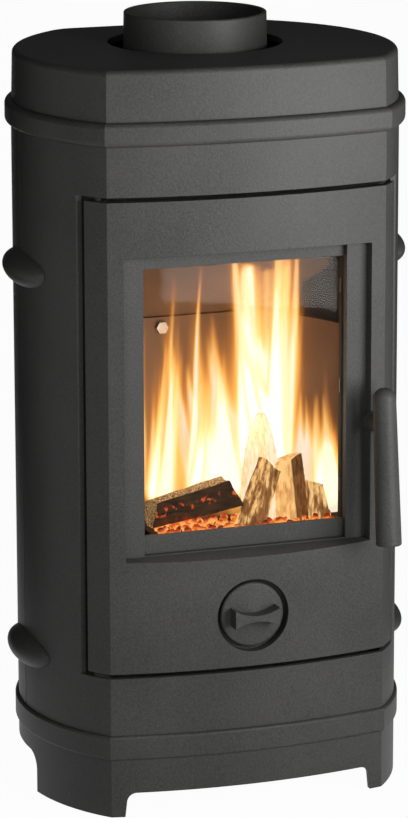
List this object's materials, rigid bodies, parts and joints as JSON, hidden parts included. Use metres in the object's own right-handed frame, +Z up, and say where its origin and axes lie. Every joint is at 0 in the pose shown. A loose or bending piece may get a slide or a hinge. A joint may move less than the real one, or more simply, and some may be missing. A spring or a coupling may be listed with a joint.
{
  "type": "wood stove",
  "caption": "Cast iron wood stove: drum-shaped casing with a bowed front on an arched plinth, a hinged glazed door with a hanging handle, a round air knob and a flue collar in the lid.",
  "frame": {"origin": "on the floor under the middle of the overall box", "axes": "+Z up, the door and its window face -Y, +X to the right of a person facing the door"},
  "size_m": [0.468, 0.4027, 0.8794],
  "materials": {
    "painted_iron": "matt charcoal stove paint over cast grain",
    "bare_iron": "sooty bare casting",
    "lining_iron": "heat-browned bare casting",
    "steel": "dull zinc",
    "pan_steel": "folded sheet, ash-dusted",
    "rope": "woven glass-fibre rope",
    "window_glass": "clear ceramic pane"
  },
  "bodies": {
    "casing": {"plinth": "painted_iron", "bottom_plate": "bare_iron", "front_casting": "painted_iron", "rear_casting": "painted_iron", "side_bosses": "painted_iron", "casing_bolts": "steel", "casing_nuts": "steel", "door_frame": "bare_iron", "frame_screws": "steel", "latch_keeper": "steel", "keeper_screws": "steel", "hinge_pins": "steel", "hinge_washer": "steel", "top_plate": "bare_iron", "flue_collar": "painted_iron", "collar_bolts": "steel", "lid": "painted_iron", "baffle": "lining_iron", "left_lining": "lining_iron", "right_lining": "lining_iron", "back_lining": "lining_iron", "lining_bolt": "steel", "hearth_plate": "bare_iron", "grate": "bare_iron", "ash_pan": "pan_steel", "pan_rails": "pan_steel"},
    "door": {"door": "painted_iron", "door_seal": "rope", "glass_frame": "painted_iron", "glass_frame_screws": "steel", "glass_gasket": "rope", "glass": "window_glass", "glass_clips": "steel", "clip_screws": "steel"},
    "handle": {"handle_grip": "painted_iron", "handle_spindle": "steel", "grip_pin": "steel", "latch_tongue": "steel"},
    "air_control": {"air_knob": "painted_iron", "air_spindle": "steel", "air_shutter": "steel", "shutter_nut": "steel"}
  },
  "joints": [
    {"name": "door_swing", "type": "hinge", "parent": "casing", "child": "door", "pos_m": [-0.166, -0.1139, 0.434], "axis": [0, 0, -1], "range_deg": [0, 110]},
    {"name": "handle_turn", "type": "hinge", "parent": "door", "child": "handle", "pos_m": [0.149, -0.15, 0.434], "axis": [0, -1, 0], "range_deg": [-25, 65]},
    {"name": "air_knob_turn", "type": "hinge", "parent": "door", "child": "air_control", "pos_m": [0, -0.15, 0.226], "axis": [0, -1, 0], "range_deg": [0, 90]}
  ]
}
